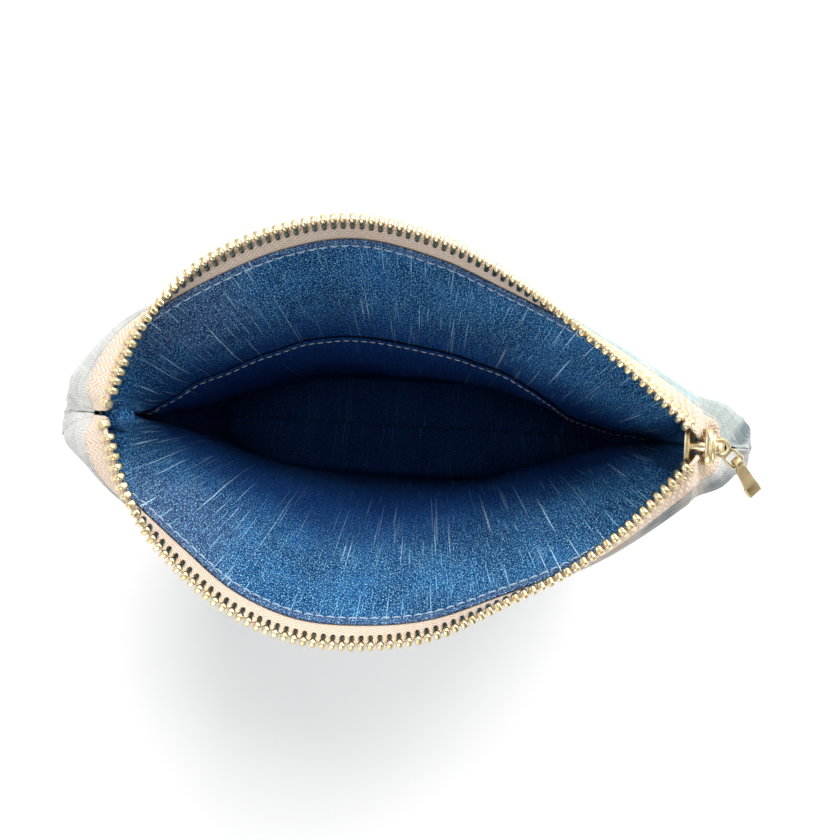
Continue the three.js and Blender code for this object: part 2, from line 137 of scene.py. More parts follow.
# Outer panels, front and back. Each is one cut of linen-look cotton with a soft pale print, fused to
# fleece, sewn to the other at both sides and along the bottom, and folded under beside the zip.
# The walls of the pouch are laid out here; every soft piece is built on their middle surfaces.
FRAME_SHIFT = np.array([-1.14, 1.47, 0.0])
SEAM_Y = 1.5
WAIST_Z = 66.0
OUTER_LAYER = (0.6, 1.4)
FLOOR_Z = OUTER_LAYER[1]
FOLD_RADIUS = 5.0
HEM_DROP = 1.0
SEAM_REACH = 0.4
COLUMNS = 270
HEM_ROWS = 24
HEM_STEP = 0.5
FOLD_EASE = 0.7
WALL_ROWS = 84
SLIDER_CENTRE = np.array([76.3, 0.0, 134.5])
SLIDER_LEAN = math.radians(25)
ALONG = np.array([-math.sin(SLIDER_LEAN), 0, math.cos(SLIDER_LEAN)])
OUTWARD = np.array([math.cos(SLIDER_LEAN), 0, math.sin(SLIDER_LEAN)])
ACROSS = np.array([0.0, 1.0, 0.0])


def on_slider(a, y, n=0.0):
    """A point by its distance along the slider, across it, and out of its outer plate."""
    return SLIDER_CENTRE + a * ALONG + y * ACROSS + n * OUTWARD


# stations along the mouth, left to right: the two side seams, the fabric edge, the tooth row, and how
# far the outer cloth swells sideways; the edge and the row begin and end where the tape turns in
BACK = {
    "side": 1,
    "seams": [(-90.5, SEAM_Y, 126), (92.8, SEAM_Y, 124.5)],
    "edge": [
        (-80.9, 1.0, 131.4), (-82.4, 5.7, 132.4), (-80.1, 12.2, 133.6), (-75, 20.6, 133.6),
        (-66, 28.8, 132), (-52.4, 38.4, 128.8), (-35, 47.4, 125.7), (-16, 51.6, 124.2),
        (7, 47.4, 124), (25.5, 39.8, 125), (42.5, 31.6, 127.4), (57.5, 22.6, 130.4),
        (68.4, 15, 133.8), on_slider(4.5, 10, -0.9), on_slider(1.2, 9.2), on_slider(-2.9, 8.4),
        (82.4, 6.2, 128.8), (84.6, 0.9, 127.6),
    ],
    "row": [
        (-75.4, 1.1, 137.2), (-75, 3.9, 138.2), (-72.6, 11.5, 138.6), (-69, 21, 138),
        (-63.2, 29.8, 136.6), (-54, 39.6, 133.5), (-37, 49.4, 130.5), (-16.4, 54.2, 128.6),
        (7.9, 49.7, 128.5), (26.6, 40.7, 129.8), (43, 29.7, 132), (57.6, 18.8, 135),
        (68.2, 9.2, 138.6), on_slider(6.8, 3.5), on_slider(3, 2.6), on_slider(-3, 1.65),
        on_slider(-9.5, 1.5), on_slider(-10.8, 0.9),
    ],
    "swell": [
        (-1.2, 0.3), (-9, 4), (-6.8, 3), (-4.4, 2.8), (-3, 2.6), (-1.6, 2), (0, 1.2),
        (0, 0.5), (0, 0.2), (0, 0.3), (0, 0.9), (0, 1.6), (0, 2.4), (0.2, 2.9), (0.6, 3.2),
        (1, 3.4), (2, 3.8), (4.6, 4.2), (7.5, 6.5), (2.4, 0.3),
    ],
    "waist": [
        (-89, SEAM_Y), (-74, 6), (-54, 15), (-27, 25), (0, 24.5), (30, 19.5), (50, 11.5),
        (66, 5.5), (80, 2.8), (90, SEAM_Y),
    ],
}
FRONT = {
    "side": -1,
    "seams": [(-90.5, -SEAM_Y, 126), (92.8, -SEAM_Y, 124.5)],
    "edge": [
        (-80.9, -1.0, 131.4), (-82.5, -5.6, 132.3), (-80.2, -12.2, 133.7), (-75.2, -18.6, 133.8),
        (-67, -25.4, 132.6), (-57.5, -34.4, 130), (-43.5, -46.2, 127), (-26.5, -53.4, 124.8),
        (-8, -54.4, 124), (10, -51.8, 124.1), (28, -44.4, 125.1), (44, -36.6, 127.3),
        (57, -27.6, 130.2), (68.6, -16.8, 133.8), on_slider(4.5, -10.8, -0.9),
        on_slider(1.2, -9.8), on_slider(-2.9, -9), (82.6, -6, 128.8), (84.6, -0.9, 127.6),
    ],
    "row": [
        (-75.6, -1.1, 137.4), (-75.2, -3.9, 138.6), (-72.8, -11, 139), (-70.2, -18.6, 138.4),
        (-65.4, -26.6, 137.2), (-58, -36, 134.6), (-44.6, -47.8, 131.7), (-27.2, -55.6, 129.3),
        (-8, -57, 128.4), (10.8, -53.3, 128.6), (28.3, -44.2, 129.7), (44.6, -34.6, 132),
        (57.2, -23.8, 134.8), (67.8, -11, 138.6), on_slider(6.8, -3.5), on_slider(3, -2.6),
        on_slider(-3, -1.65), on_slider(-9.5, -1.5), on_slider(-10.8, -0.9),
    ],
    "swell": [
        (-1.8, -0.3), (-10, -4.4), (-7, -2.6), (-2.6, -1.6), (-1.6, -1.3), (-0.6, -1),
        (0, -0.7), (0, -0.5), (0, -0.3), (0, -0.2), (0, -0.3), (0, -1), (0, -2.2),
        (0.2, -3.6), (0.5, -4.4), (0.8, -4), (1.2, -3.4), (2.2, -3.2), (4, -3.6),
        (7, -4.4), (2.2, -0.3),
    ],
    "waist": [
        (-89, -SEAM_Y), (-72, -8.5), (-45, -21), (-12, -27.5), (25, -22), (50, -11.5),
        (68, -5), (80, -2.8), (90, -SEAM_Y),
    ],
}
BASE = [
    (-76, SEAM_Y), (-74.5, 7), (-69, 13), (-56, 18), (0, 21.5), (56, 18), (69, 13), (74.5, 7),
    (76, SEAM_Y),
]
HALVES = {"back": BACK, "front": FRONT}
PANEL_SEED = {"back": 1.7, "front": 8.3}


def root_gap(a, b):
    """The square root of the distance between points, never quite nothing."""
    return np.maximum(np.linalg.norm(b - a, axis=-1, keepdims=True), 1e-4) ** 0.5


def spline(points, t):
    """Centripetal Catmull-Rom curve. points is (k, 3), or (k, m, 3) for m curves at once."""
    p = np.asarray(points, float)
    p = np.concatenate([2 * p[:1] - p[1:2], p, 2 * p[-1:] - p[-2:-1]])
    spans = len(p) - 3
    place = np.clip(np.asarray(t, float), 0, 1) * spans
    k = np.minimum(place.astype(int), spans - 1)
    w = (place - k).reshape((-1,) + (1,) * (p.ndim - 1))
    x0, x1, x2, x3 = p[k], p[k + 1], p[k + 2], p[k + 3]
    d0, d1, d2 = root_gap(x0, x1), root_gap(x1, x2), root_gap(x2, x3)
    m1 = ((x1 - x0) / d0 - (x2 - x0) / (d0 + d1) + (x2 - x1) / d1) * d1
    m2 = ((x2 - x1) / d1 - (x3 - x1) / (d1 + d2) + (x3 - x2) / d2) * d1
    a = 2 * x1 - 2 * x2 + m1 + m2
    b = -3 * x1 + 3 * x2 - 2 * m1 - m2
    return x1 + w * (m1 + w * (b + w * a))


def running_length(points):
    """Distance along a line of points, from its first point."""
    steps = np.linalg.norm(np.diff(points, axis=0), axis=-1)
    return np.concatenate([[0.0], np.cumsum(steps)])


def along_line(where, at, points):
    """Points of a line at distances `where`, given its own points' distances `at`."""
    return np.stack([np.interp(where, at, points[:, i]) for i in range(3)], axis=-1)


def even_points(points, shares):
    """Points at given shares of a line's length."""
    at = running_length(points)
    return along_line(shares * at[-1], at, points)


def unit(v):
    """Directions of length one."""
    return v / np.linalg.norm(v, axis=-1, keepdims=True)


def wall_foot(low, side):
    """Rows of points that turn under from the wall's low line and run in to the bottom seam."""
    seam = np.array([0, 0.02 * side, 0])
    foot = []
    for bend in np.linspace(0, math.pi / 2, 9)[1:]:
        tight = 1 - math.cos(bend)
        point = seam + (low - seam) * np.array([1 - 0.04 * tight, 1 - 0.2 * tight, 1])
        point[:, 2] = FLOOR_Z + FOLD_RADIUS * (1 - math.sin(bend))
        foot.append(point)
    for inward in (0.6, 0.4, 0.2, 0.0):
        point = seam + (low - seam) * np.array([0.92 + 0.05 * inward, inward, 1])
        point[:, 2] = FLOOR_Z
        foot.append(point)
    return np.stack(foot)


def mouth_places():
    """Places from 0 to 1 along the mouth, closer together in the tight curves at its two ends."""
    even = np.linspace(0, 1, COLUMNS)
    return np.clip(0.5 - np.cos(np.pi * even) * 0.35 + (even - 0.5) * 0.3, 0, 1)


def wall_of(half):
    """The middle surface of one wall: columns along the mouth, and rows down to the bottom seam."""
    side = half["side"]
    stations = [half["seams"][0], *half["edge"], half["seams"][1]]
    fine = np.linspace(0, 1, 3000)
    mouth_length = running_length(spline(stations, fine))
    t = mouth_places()
    rim = spline(stations, t)
    share = np.interp(t, fine, mouth_length / mouth_length[-1])
    waist_line = spline([(x, y, WAIST_Z) for x, y in half["waist"]], fine)
    base_line = spline([(x, y * side, FLOOR_Z + FOLD_RADIUS) for x, y in BASE], fine)
    low = even_points(base_line, share)
    fall = spline(np.stack([rim, even_points(waist_line, share), low]), np.linspace(0, 1, 60))
    path = np.concatenate([fall, wall_foot(low, side)])
    grid, down = [], []
    for column in range(COLUMNS):
        at = running_length(path[:, column])
        hem = HEM_DROP + np.arange(HEM_ROWS) * HEM_STEP
        rest = np.linspace(hem[-1], at[-1], WALL_ROWS + 1)[1:]
        down.append(np.concatenate([hem, rest]))
        grid.append(along_line(down[-1], at, path[:, column]))
    grid = np.array(grid)
    normal = unit(np.cross(np.gradient(grid, axis=0), np.gradient(grid, axis=1)) * side)
    rows = grid.shape[1]
    return SimpleNamespace(
        side=side, spans=len(stations) - 1, t=t, rim=rim, grid=grid, normal=normal, down=np.array(down),
        along=np.repeat((share * mouth_length[-1])[:, None], rows, axis=1),
        share=np.repeat(share[:, None], rows, axis=1),
    )


def own_side(points, side, least):
    """Keeps cloth on its own side of the pouch's middle plane, where the two walls press together."""
    kept = points.copy()
    kept[..., 1] = np.maximum(points[..., 1] * side, least) * side
    return kept


def layer_faces(middle, out, layer, stand, side, least):
    """A layer's near and far faces, at its distances out from a middle surface."""
    pairs = zip(layer, least)
    return [own_side(middle + out * (depth + stand), side, clear) for depth, clear in pairs]


def soft_noise(along, down, scale, seed):
    """Smooth noise from -1 to 1 over the cloth, with features about `scale` millimetres across."""
    flat = [noise.noise((a / scale, d / scale, seed)) for a, d in zip(along.ravel(), down.ravel())]
    return np.array(flat).reshape(along.shape) * 1.6


def fade(x, start, end):
    """0 before start, 1 after end, smooth between."""
    w = np.clip((x - start) / (end - start), 0, 1)
    return w * w * (3 - 2 * w)


def mesh_from(name, points, faces, cloth=None, material=None):
    """A smooth mesh object from millimetre points; cloth holds each point's place on the flat cloth."""
    mesh = bpy.data.meshes.new(name)
    mesh.from_pydata(((np.asarray(points) + FRAME_SHIFT) * MM).tolist(), [], faces)
    mesh.polygons.foreach_set("use_smooth", [True] * len(mesh.polygons))
    if cloth is not None:
        spot = mesh.attributes.new("cloth", "FLOAT_VECTOR", "POINT")
        spot.data.foreach_set("vector", np.asarray(cloth, np.float32).ravel())
    made = bpy.data.objects.new(name, mesh)
    scene.collection.objects.link(made)
    if material:
        mesh.materials.append(material)
    return made


def ring_quads(base, rings, sides):
    """Quads between rings of points."""
    faces = []
    for a in range(base, base + (rings - 1) * sides, sides):
        for c in range(sides):
            n = (c + 1) % sides
            faces.append((a + c, a + n, a + n + sides, a + c + sides))
    return faces


def ring_faces(base, rings, sides):
    """Quads between rings of points, with a cap at each end."""
    last = base + (rings - 1) * sides
    caps = [tuple(range(base, base + sides))[::-1], tuple(range(last, last + sides))]
    return ring_quads(base, rings, sides) + caps


def round_ring(centre, wide, up, sides):
    """Points round a centre, through `wide` and `up` from it."""
    turns = [2 * math.pi * c / sides for c in range(sides)]
    return [centre + wide * math.cos(turn) + up * math.sin(turn) for turn in turns]


def cloth_shell(name, near, far, along, down, material):
    """A closed sheet between two grids, with a rounded fold along its top edge."""
    columns, rows = near.shape[:2]
    top = (near[:, 0] + far[:, 0]) / 2
    lift = unit(top - (near[:, 1] + far[:, 1]) / 2)
    lift *= np.linalg.norm(far[:, 0] - near[:, 0], axis=-1, keepdims=True) / 2
    fold = [
        top + (far[:, 0] - top + lift) * FOLD_EASE,
        top + lift,
        top + (near[:, 0] - top + lift) * FOLD_EASE,
    ]
    ring = np.concatenate([far[:, ::-1], np.stack(fold, axis=1), near], axis=1)
    place = np.concatenate([down[:, ::-1], np.repeat(down[:, :1], 3, axis=1), down], axis=1)
    face_of = np.concatenate([np.zeros(rows), np.full(3, 0.5), np.ones(rows)])
    size = ring.shape[1]
    cloth = np.stack([
        np.repeat(along[:, :1], size, axis=1), place, np.broadcast_to(face_of, (columns, size)),
    ], axis=-1)
    faces = ring_quads(0, columns, size)
    for a, turn in ((0, 1), ((columns - 1) * size, -1)):
        for r in range(rows - 1):
            faces.append((a + r, a + size - 1 - r, a + size - 2 - r, a + r + 1)[::turn])
        faces.append(tuple(range(a + rows - 1, a + rows + 4))[::turn])
    made = mesh_from(name, ring.reshape(-1, 3), faces, cloth.reshape(-1, 3), material)
    return face_outward(made)


def face_outward(made):
    """Turns a closed mesh's faces outward, by the sign of its volume."""
    mesh = made.data
    mesh.calc_loop_triangles()
    co = np.array([v.co for v in mesh.vertices])
    tri = np.array([t.vertices for t in mesh.loop_triangles])
    volume = np.einsum("ij,ij->i", co[tri[:, 0]], np.cross(co[tri[:, 1]], co[tri[:, 2]])).sum()
    if volume < 0:
        mesh.flip_normals()
    return made


def soft_piece(made, slot, *nodes):
    """Ties a soft piece to the pouch, gives it a mesh of its own and hides any CAD parts it stands for.
    """
    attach(made, "pouch")
    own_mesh(made)
    if nodes:
        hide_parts(*nodes)
    return made


def value_group(name, vectors, numbers, results):
    """A shader node group: its vector inputs, its number inputs with usual values, its results."""
    group = bpy.data.node_groups.new(name, "ShaderNodeTree")
    sockets = group.interface
    for label in vectors:
        sockets.new_socket(label, in_out="INPUT", socket_type="NodeSocketVector")
    for label, usual in numbers.items():
        socket = sockets.new_socket(label, in_out="INPUT", socket_type="NodeSocketFloat")
        socket.default_value = usual
    for label in results:
        sockets.new_socket(label, in_out="OUTPUT", socket_type="NodeSocketFloat")
    start = group.nodes.new("NodeGroupInput")
    end = group.nodes.new("NodeGroupOutput")
    return group, start.outputs, end.inputs


def maths(tree, operation, a, b=None):
    """A Math node's output."""
    values = {0: a}
    if b is not None:
        values[1] = b
    return add_node(tree, "ShaderNodeMath", values, operation=operation).outputs[0]


def mixed(tree, amount, a, b, kind="MIX"):
    """A Mix node's colour output."""
    made = add_node(tree, "ShaderNodeMix", {0: amount, 6: a, 7: b}, data_type="RGBA", blend_type=kind)
    return made.outputs[2]


def ramp(tree, value, low, high):
    """The value stretched from low..high to 0..1 with soft ends."""
    values = {0: value, 1: low, 2: high}
    return add_node(tree, "ShaderNodeMapRange", values, interpolation_type="SMOOTHSTEP").outputs[0]


def times(tree, a, b):
    """Two values multiplied."""
    return maths(tree, "MULTIPLY", a, b)


def cloudy(tree, place, scale, detail, roughness=0.5):
    """Noise from 0 to 1 over a place."""
    values = {"Vector": place, "Scale": scale, "Detail": detail, "Roughness": roughness}
    return add_node(tree, "ShaderNodeTexNoise", values).outputs[0]


def tinted(tree, color, mask, amount, tint):
    """A colour with a tint laid over it where a mask says."""
    return mixed(tree, times(tree, mask, amount), color, tint)


def finish(tree, shader, color, rough, height, strength, depth):
    """Gives a surface its colour, its roughness and a relief `depth` millimetres high."""
    relief = {"Strength": strength, "Distance": depth * MM, "Height": height}
    tree.links.new(color, shader.inputs["Base Color"])
    tree.links.new(add_node(tree, "ShaderNodeBump", relief).outputs[0], shader.inputs["Normal"])
    if isinstance(rough, bpy.types.NodeSocket):
        tree.links.new(rough, shader.inputs["Roughness"])
    else:
        shader.inputs["Roughness"].default_value = rough


# weave: warp and weft threads that cross over and under, each of uneven thickness
weave, given, result = value_group(
    "weave", ["Cloth"], {"Warp pitch": 0.5, "Weft pitch": 0.5, "Uneven": 0.3}, ["Height"]
)
thread_ways = ((0, "Warp pitch", (0.9, 0.05, 1), 0.0), (1, "Weft pitch", (0.05, 0.9, 1), 5.0))
place_parts = add_node(weave, "ShaderNodeSeparateXYZ", {0: given["Cloth"]}).outputs
bands = []
for axis, pitch, stretch, seed in thread_ways:
    moved = {0: given["Cloth"], 1: (seed, seed, 0), 3: stretch}
    uneven = cloudy(weave, add_node(weave, "ShaderNodeMapping", moved).outputs[0], 1.0, 2.0)
    wander = times(weave, maths(weave, "SUBTRACT", uneven, 0.5), given["Uneven"])
    turns = maths(weave, "ADD", maths(weave, "DIVIDE", place_parts[axis], given[pitch]), wander)
    bands.append((maths(weave, "SINE", times(weave, turns, 2 * math.pi)), uneven))
cross = times(weave, bands[0][0], bands[1][0])
thick = maths(weave, "ADD", bands[0][1], bands[1][1])
height = maths(weave, "ADD", times(weave, cross, 0.5), thick)
weave.links.new(times(weave, height, 0.5), result["Height"])

# patch: a soft watercolour blot around a place on the cloth
patch, given, result = value_group(
    "patch", ["Cloth", "Middle"], {"Spread": 20.0, "Ragged": 0.5}, ["Mask"]
)
middle = {0: given["Cloth"], 1: given["Middle"]}
away = add_node(patch, "ShaderNodeVectorMath", middle, operation="DISTANCE").outputs["Value"]
rough = cloudy(patch, given["Cloth"], 0.06, 5.0)
edge = times(patch, maths(patch, "SUBTRACT", rough, 0.5), given["Ragged"])
share = maths(patch, "DIVIDE", away, given["Spread"])
reach = maths(patch, "ADD", share, times(patch, edge, 2.0))
inside = maths(patch, "SUBTRACT", 1.0, ramp(patch, reach, 0.35, 1.0))
patch.links.new(inside, result["Mask"])


def cloth_place(tree):
    """Each point's place on the flat cloth, in millimetres."""
    return add_node(tree, "ShaderNodeAttribute", attribute_name="cloth").outputs["Vector"]


def grouped(tree, group, values):
    """A placed node group's outputs."""
    return add_node(tree, "ShaderNodeGroup", values, node_tree=group).outputs


LINEN_WHITE = (0.64, 0.64, 0.62, 1)
LINEN_GREY = (0.40, 0.40, 0.39, 1)
PRINT_AQUA = (0.38, 0.54, 0.57, 1)
PRINT_SAGE = (0.38, 0.45, 0.44, 1)
PRINT_SLATE = (0.11, 0.16, 0.19, 1)
PRINT_SAND = (0.42, 0.35, 0.29, 1)
# the painted shade laid in the hollows of the weave
PAINTED_WEAVE_SHADE = (0.45, 0.46, 0.47, 1)
PUCKER_HEIGHT = 0.18
# distances down the cloth in which the swell under the mouth comes in, and dies away
SWELL_RISE = 6
SWELL_FALL = (12, 52)


def outer_cloth(name, blots, length):
    """Pale linen weave with the print's blots: each is a colour, a place and a spread in millimetres.

    A negative place counts back from the right-hand side seam.
    """
    material, tree, shader = new_material(name)
    place = cloth_place(tree)
    threads = grouped(tree, weave, {
        "Cloth": place, "Warp pitch": 0.62, "Weft pitch": 0.68, "Uneven": 0.9,
    })
    cloud = cloudy(tree, place, 0.035, 4.0)
    color = mixed(tree, ramp(tree, cloud, 0.45, 0.72), LINEN_WHITE, LINEN_GREY)
    for tint, (along, down), spread in blots:
        middle = (along if along > 0 else length + along, down, 0)
        blot = {"Cloth": place, "Middle": middle, "Spread": spread, "Ragged": 0.9}
        color = tinted(tree, color, grouped(tree, patch, blot)["Mask"], 0.85, tint)
    slub = add_node(tree, "ShaderNodeMapping", {0: place, 3: (0.09, 1.3, 1)}).outputs[0]
    streak = cloudy(tree, slub, 1.0, 3.0)
    color = tinted(tree, color, ramp(tree, streak, 0.52, 0.68), 0.6, LINEN_GREY)
    color = tinted(tree, color, ramp(tree, streak, 0.48, 0.36), 0.5, LINEN_WHITE)
    # painted shade: the hollows between the threads are darkened in the colour
    weave_hollow_shade = ramp(tree, threads["Height"], 0.62, 0.25)
    color = mixed(tree, times(tree, weave_hollow_shade, 0.7), color, PAINTED_WEAVE_SHADE, "MULTIPLY")
    rough = maths(tree, "ADD", times(tree, threads["Height"], 0.1), 0.82)
    finish(tree, shader, color, rough, threads["Height"], 0.55, 0.22)
    shader.inputs["Sheen Weight"].default_value = 0.25
    shader.inputs["Sheen Roughness"].default_value = 0.5
    return material


def low_calm(wall):
    """1 on the upper wall, falling to 0 before the fold into the base."""
    return 1 - fade(wall.down / wall.down[:, -1:], 0.66, 0.82)


def beyond_tape(wall):
    """1 at the side seams, 0 between the two ends of the zip tape."""
    end = 1 / wall.spans
    left = 1 - fade(wall.t, 0.85 * end, 1.4 * end)
    right = fade(wall.t, 1 - 0.95 * end, 1 - 0.3 * end)
    return (left + right)[:, None]


def pressed(points, wall, gap):
    """Presses the upper edge against the other wall's, beyond the ends of the tape."""
    hold = beyond_tape(wall) * (1 - fade(wall.down, 1.5, 6))
    shut = points.copy()
    shut[..., 1] = points[..., 1] * (1 - hold) + gap * wall.side * hold
    return shut


def swell_of(wall, half):
    """The swell of the outer cloth just under the mouth, as a level shift for each point."""
    stations = np.linspace(0, 1, len(half["swell"]))
    from_seam = np.minimum(wall.t, 1 - wall.t) * wall.spans
    rounded = np.where(from_seam < 1, np.sqrt(from_seam), from_seam) / wall.spans
    place = np.where(wall.t < 0.5, rounded, 1 - rounded)
    soften = np.hanning(15)[1:-1] / np.hanning(15).sum()
    rise = 1 - (1 - np.clip((wall.down - HEM_DROP) / SWELL_RISE, 0, 1)) ** 2
    amount = rise * (1 - fade(wall.down, *SWELL_FALL))
    swell = np.zeros_like(wall.grid)
    for axis in (0, 1):
        way = np.interp(place, stations, [s[axis] for s in half["swell"]])
        way = np.convolve(np.pad(way, 6, "edge"), soften, "valid")
        swell[..., axis] = way[:, None] * amount
    return swell


def panel_relief(wall, seed):
    """How far the outer cloth stands out: broad soft waves, and small puckers by the side seams."""
    along, down = wall.along, wall.down
    total = along.max()
    from_end = np.minimum(along, total - along)
    calm = fade(down, 2, 16) * low_calm(wall)
    broad = 0.9 + 0.9 * soft_noise(along, down, 42, seed)
    broad += 0.4 * soft_noise(along, down, 16, seed + 3)
    waves = np.maximum(broad, 0) * calm * fade(from_end, 0, 9)
    uneven = 2.2 * soft_noise(along, down, 12, seed + 6)
    pucker = np.sin(down / 1.9 + uneven) * np.exp(-from_end / 5.0)
    return waves + PUCKER_HEIGHT * pucker * fade(down, 5, 14) * low_calm(wall)


def meet_at_seams(points, middle, reach):
    """Brings a grid's first and last columns into the seam plane, `reach` beyond the middle surface."""
    for column in (0, -1):
        out = math.copysign(1, middle[column, 0, 0]) * reach
        points[column] = middle[column] * [1, 0, 1] + [out, 0, 0]


walls = {name: wall_of(half) for name, half in HALVES.items()}
outer_blots = {
    "back": [
        (PRINT_AQUA, (-72, 8), 34), (PRINT_AQUA, (-38, 9), 22), (PRINT_SAGE, (-8, 9), 24),
        (PRINT_SLATE, (-5, 4), 4.5), (PRINT_AQUA, (60, 70), 40), (PRINT_SAND, (120, 95), 36),
        (PRINT_SAGE, (190, 80), 30),
    ],
    "front": [
        (PRINT_SAND, (-52, 6), 24), (PRINT_SLATE, (-40, 7), 13), (PRINT_SAND, (-26, 6), 12),
        (PRINT_SLATE, (-15, 5), 6), (PRINT_AQUA, (90, 60), 42), (PRINT_SAND, (40, 90), 30),
        (PRINT_SLATE, (150, 95), 20),
    ],
}
for name, wall in walls.items():
    relief = panel_relief(wall, PANEL_SEED[name])[..., None]
    full = wall.grid + swell_of(wall, HALVES[name])
    near, far = layer_faces(full, wall.normal, OUTER_LAYER, relief, wall.side, (0.06, 0.12))
    near, far = pressed(near, wall, 0.05), pressed(far, wall, 0.75)
    # at both side seams the cloth turns in to meet the other panel
    meet_at_seams(near, full, OUTER_LAYER[0] * SEAM_REACH)
    meet_at_seams(far, full, OUTER_LAYER[1] * SEAM_REACH)
    linen = outer_cloth(f"linen_{name}", outer_blots[name], wall.along.max())
    panel = cloth_shell(f"outer_{name}", near, far, wall.along, wall.down, linen)
    soft_piece(panel, "outer_cloth", f"outer_{name}_panel")


# Fleece, front and back. A thin needled layer fused behind each outer panel, out of sight between the
# cloth and the lining; it starts below the zip tape.
FLEECE_LAYER = (-0.3, 0.3)
FLEECE_FROM = 8.0
FLEECE_PAINTED_SHADE = (0.78, 0.77, 0.74, 1)
FLEECE_WHITE = (0.92, 0.92, 0.9, 1)

fleece_material, tree, shader = new_material("white_fleece")
fluff = cloudy(tree, cloth_place(tree), 1.4, 6.0)
# painted shade: the low places of the fluff are darker in the colour
finish(tree, shader, mixed(tree, fluff, FLEECE_PAINTED_SHADE, FLEECE_WHITE), 1.0, fluff, 0.6, 0.3)
for name, wall in walls.items():
    first = int((FLEECE_FROM - HEM_DROP) / HEM_STEP)
    kept = (slice(3, -3, 2), slice(first, None, 2))
    grid, normal = wall.grid[kept], wall.normal[kept]
    fleece = cloth_shell(
        f"fleece_layer_{name}", grid + normal * FLEECE_LAYER[0], grid + normal * FLEECE_LAYER[1],
        wall.along[kept], wall.down[kept], fleece_material,
    )
    soft_piece(fleece, "fleece", f"fleece_{name}")


# Lining, front and back. Navy cotton printed like slubbed denim: a fine speckle and pale slub threads
# that run down the wall. It hangs a little loose inside and is folded under beside the zip tape.
LINING_LAYER = (-1.2, -0.6)
NAVY_DEEP = (0.003, 0.024, 0.10, 1)
NAVY_MID = (0.009, 0.078, 0.21, 1)
NAVY_WORN = (0.024, 0.145, 0.35, 1)
NAVY_LIGHT = (0.44, 0.82, 1.0, 1)
SLUB_PALE = (0.70, 0.90, 1.0, 1)
LINING_PLUM = (0.12, 0.13, 0.23, 1)
# the colour of the painted shade deep inside the pouch
NAVY_PAINTED_DEPTH_SHADE = (0.004, 0.038, 0.17, 1)
# distances down the cloth: where the tinted fold ends, and where the painted shade of the pouch's deep
# inside comes in
HEM_TINT = (2.5, 3.3)
DEPTH_SHADE_FROM = (20.0, 58.0)
LINING_SINK = 2.6
LINING_SEED = {"back": 3.1, "front": 12.9}

# slubs: pale thick threads of uneven length, running down the cloth
slubs, given, result = value_group("slubs", ["Cloth"], {"Spacing": 1.0, "Length": 12.0}, ["Mask"])
place_parts = add_node(slubs, "ShaderNodeSeparateXYZ", {0: given["Cloth"]}).outputs
stretched = add_node(slubs, "ShaderNodeCombineXYZ", {
    0: maths(slubs, "DIVIDE", place_parts[0], given["Spacing"]),
    1: maths(slubs, "DIVIDE", place_parts[1], given["Length"]),
}).outputs[0]
slubs.links.new(ramp(slubs, cloudy(slubs, stretched, 1.0, 1.0), 0.65, 0.71), result["Mask"])

lining_material, tree, shader = new_material("navy_denim_print")
place = cloth_place(tree)
moved = add_node(tree, "ShaderNodeVectorMath", {0: place, 1: (70, 40, 0)}).outputs[0]
down_cloth = add_node(tree, "ShaderNodeSeparateXYZ", {0: place}).outputs["Y"]
threads = grouped(tree, weave, {
    "Cloth": place, "Warp pitch": 0.36, "Weft pitch": 0.4, "Uneven": 0.7,
})
speckle = cloudy(tree, place, 1.7, 3.0, 0.75)
fleck = cloudy(tree, place, 2.1, 2.0, 0.8)
cloud = cloudy(tree, place, 0.05, 3.0)
plum = {"Cloth": place, "Middle": (50, 10, 1), "Spread": 26, "Ragged": 0.6}
hem = maths(tree, "SUBTRACT", 1.0, ramp(tree, down_cloth, *HEM_TINT))
fine = grouped(tree, slubs, {"Cloth": place, "Spacing": 0.5, "Length": 20.0})["Mask"]
bold = grouped(tree, slubs, {"Cloth": moved, "Spacing": 0.9, "Length": 58.0})["Mask"]
color = mixed(tree, ramp(tree, cloud, 0.35, 0.65), NAVY_MID, NAVY_WORN)
color = tinted(tree, color, grouped(tree, patch, plum)["Mask"], 0.45, LINING_PLUM)
color = tinted(tree, color, hem, 0.55, LINING_PLUM)
color = mixed(tree, ramp(tree, speckle, 0.38, 0.54), NAVY_DEEP, color)
color = tinted(tree, color, ramp(tree, fleck, 0.56, 0.63), 0.9, NAVY_LIGHT)
color = tinted(tree, color, fine, 0.45, NAVY_LIGHT)
color = tinted(tree, color, bold, ramp(tree, fleck, 0.38, 0.54), SLUB_PALE)
# painted shade: the lining darkens further down the wall, where little light reaches inside the pouch
color = tinted(tree, color, ramp(tree, down_cloth, *DEPTH_SHADE_FROM), 0.78, NAVY_PAINTED_DEPTH_SHADE)
relief = maths(tree, "ADD", threads["Height"], times(tree, bold, 0.8))
finish(tree, shader, color, 0.85, relief, 0.5, 0.18)
shader.inputs["Specular IOR Level"].default_value = 0.12


def lining_slack(wall, seed):
    """How far the lining hangs in from the wall: loose waves, with slanting creases near one corner."""
    along, down = wall.along, wall.down
    from_end = np.minimum(along, along.max() - along)
    loose = 0.6 + 0.7 * soft_noise(along, down, 38, seed)
    loose += 0.35 * soft_noise(along, down, 13, seed + 4)
    slant = along * 0.55 + down * 0.8
    creases = np.sin(slant / 3.1 + 2 * soft_noise(along, down, 20, seed + 9))
    where = np.exp(-((along - 48) / 22) ** 2 - ((down - 26) / 18) ** 2)
    slack = np.maximum(loose, 0) * fade(down, 6, 22)
    slack += 0.55 * (1 + creases) * where * fade(down, 4, 10)
    return slack * fade(from_end, 0, 12) * low_calm(wall)


